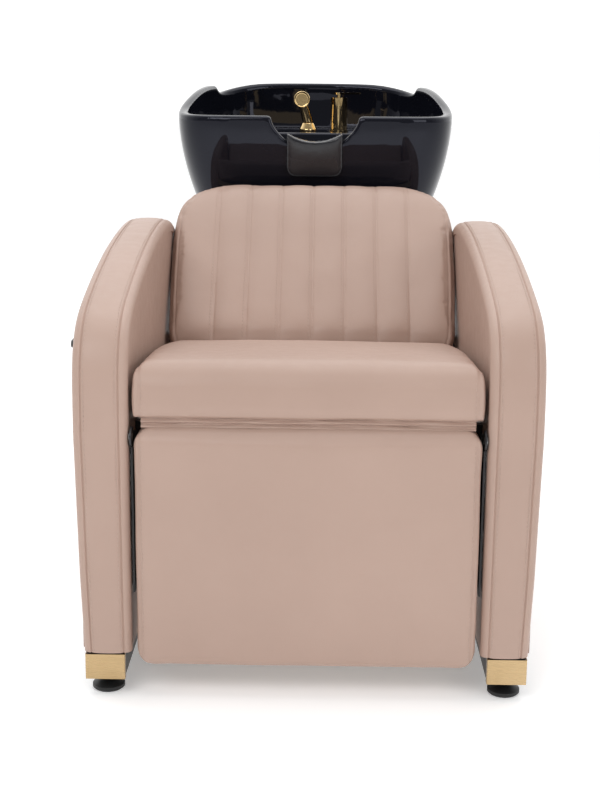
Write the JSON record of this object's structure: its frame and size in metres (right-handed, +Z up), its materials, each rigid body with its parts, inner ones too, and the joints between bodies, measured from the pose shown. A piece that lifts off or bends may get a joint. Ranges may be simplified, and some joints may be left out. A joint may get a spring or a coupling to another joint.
{
  "type": "hair washing bed",
  "caption": "Salon hair washing bed: upholstered chair with padded arms and a swinging legrest, before a tilting black ceramic bowl with gold mixer and hand spray on a pedestal.",
  "frame": {"origin": "on the floor, under the middle of the whole bed's outline", "axes": "+X to the sitter's left, +Y from the sitter's feet to the bowl, +Z up"},
  "size_m": [0.717, 1.458, 0.9218],
  "materials": {
    "leatherette": "satin, fine grain",
    "beech": "planed",
    "plywood": "sanded",
    "black_steel": "satin powder coat",
    "zinc_steel": "zinc plated",
    "chromed_steel": "polished",
    "gold": "brushed gold plate",
    "polished_gold": "polished gold plate",
    "brass": "machined",
    "black_rubber": "matt",
    "gel": "smooth, semi-gloss",
    "black_plastic": "fine texture",
    "black_glaze": "gloss glaze"
  },
  "bodies": {
    "chair_frame": {"backrest_board": "plywood", "backrest_cushion": "leatherette", "backrest_lower_tube": "black_steel", "backrest_upper_tube": "black_steel", "gas_spring_cylinder": "black_steel", "inlet_fittings": "brass", "left_arm_band": "leatherette", "left_arm_frame": "beech", "left_arm_inner_panel": "leatherette", "left_arm_outer_panel": "leatherette", "left_base_rail": "black_steel", "left_front_shoe": "gold", "legrest_flap": "leatherette", "legrest_pivot_pins": "zinc_steel", "panel_screws": "zinc_steel", "pedestal_column": "black_steel", "pedestal_glides": "black_rubber", "pedestal_housing": "black_plastic", "rail_end_caps": "black_plastic", "rear_access_panel": "black_plastic", "rear_frame": "black_steel", "release_bezel": "black_plastic", "release_cable": "black_plastic", "right_arm_band": "leatherette", "right_arm_frame": "beech", "right_arm_inner_panel": "leatherette", "right_arm_outer_panel": "leatherette", "right_base_rail": "black_steel", "right_front_shoe": "gold", "seat_board": "plywood", "seat_cushion": "leatherette", "seat_front_tube": "black_steel", "seat_rear_tube": "black_steel", "supply_hoses": "black_rubber", "tilt_bolt": "zinc_steel", "waste_hose": "black_rubber", "waste_trap": "black_plastic"},
    "legrest": {"legrest_cushion": "leatherette", "legrest_board": "plywood", "legrest_arms": "black_steel", "gas_spring_lug": "black_steel"},
    "gas_rod": {"gas_spring_rod": "chromed_steel"},
    "release": {"release_lever": "black_plastic"},
    "bowl_unit": {"bowl": "black_glaze", "neck_rest": "gel", "drain_flange": "chromed_steel", "mixer_body": "polished_gold", "spray_holder": "polished_gold", "tap_nuts": "zinc_steel", "bowl_cradle": "black_steel", "spray_hose_loop": "black_rubber"},
    "mixer_top": {"mixer_cap": "polished_gold"},
    "mixer_handle": {"mixer_lever": "polished_gold"},
    "spray": {"hand_spray": "polished_gold", "spray_hose": "black_rubber"},
    "strainer": {"hair_strainer": "chromed_steel"},
    "left_front_levelling_foot": {"left_front_foot": "black_rubber"},
    "left_rear_levelling_foot": {"left_rear_foot": "black_rubber"},
    "right_front_levelling_foot": {"right_front_foot": "black_rubber"},
    "right_rear_levelling_foot": {"right_rear_foot": "black_rubber"}
  },
  "joints": [
    {"name": "legrest_swing", "type": "hinge", "parent": "chair_frame", "child": "legrest", "pos_m": [0, -0.701, 0.415], "axis": [-1, 0, 0], "range_deg": [0, 80], "deforming": ["legrest_flap"]},
    {"name": "gas_rod_slide", "type": "slide", "parent": "chair_frame", "child": "gas_rod", "axis": [0, -0.9985, -0.055], "range_m": [0, 0.1105]},
    {"name": "release_lever_lift", "type": "hinge", "parent": "chair_frame", "child": "release", "pos_m": [0, -0.546, 0.545], "axis": [-1, 0, 0], "range_deg": [0, 25], "stiffness_Nm_per_rad": 1.2, "springref_deg": -17.19, "deforming": ["release_cable"]},
    {"name": "bowl_tilt", "type": "hinge", "parent": "chair_frame", "child": "bowl_unit", "pos_m": [0, 0.399, 0.588], "axis": [-1, 0, 0], "range_deg": [-4, 8], "deforming": ["waste_hose", "supply_hoses"]},
    {"name": "mixer_turn", "type": "hinge", "parent": "bowl_unit", "child": "mixer_top", "pos_m": [0.052, 0.529, 0.87], "axis": [0, 0, 1], "range_deg": [-45, 45]},
    {"name": "mixer_lift", "type": "hinge", "parent": "mixer_top", "child": "mixer_handle", "pos_m": [0.052, 0.529, 0.879], "axis": [0.6428, -0.766, 0], "range_deg": [0, 22]},
    {"name": "spray_lift", "type": "slide", "parent": "bowl_unit", "child": "spray", "axis": [0, 0, 1], "range_m": [0, 0.16], "deforming": ["spray_hose_loop"]},
    {"name": "strainer_lift", "type": "slide", "parent": "bowl_unit", "child": "strainer", "axis": [0, 0, 1], "range_m": [0, 0.06]},
    {"name": "left_front_foot_turn", "type": "hinge", "parent": "chair_frame", "child": "left_front_levelling_foot", "pos_m": [0.313, -0.686, 0.03], "axis": [0, 0, 1], "continuous": true},
    {"name": "left_rear_foot_turn", "type": "hinge", "parent": "chair_frame", "child": "left_rear_levelling_foot", "pos_m": [0.313, 0.089, 0.03], "axis": [0, 0, 1], "continuous": true},
    {"name": "right_front_foot_turn", "type": "hinge", "parent": "chair_frame", "child": "right_front_levelling_foot", "pos_m": [-0.313, -0.686, 0.03], "axis": [0, 0, 1], "continuous": true},
    {"name": "right_rear_foot_turn", "type": "hinge", "parent": "chair_frame", "child": "right_rear_levelling_foot", "pos_m": [-0.313, 0.089, 0.03], "axis": [0, 0, 1], "continuous": true}
  ],
  "couplings": [
    {"joint": "gas_rod_slide", "follows": "legrest_swing", "m_per_rad": 0.0788}
  ]
}
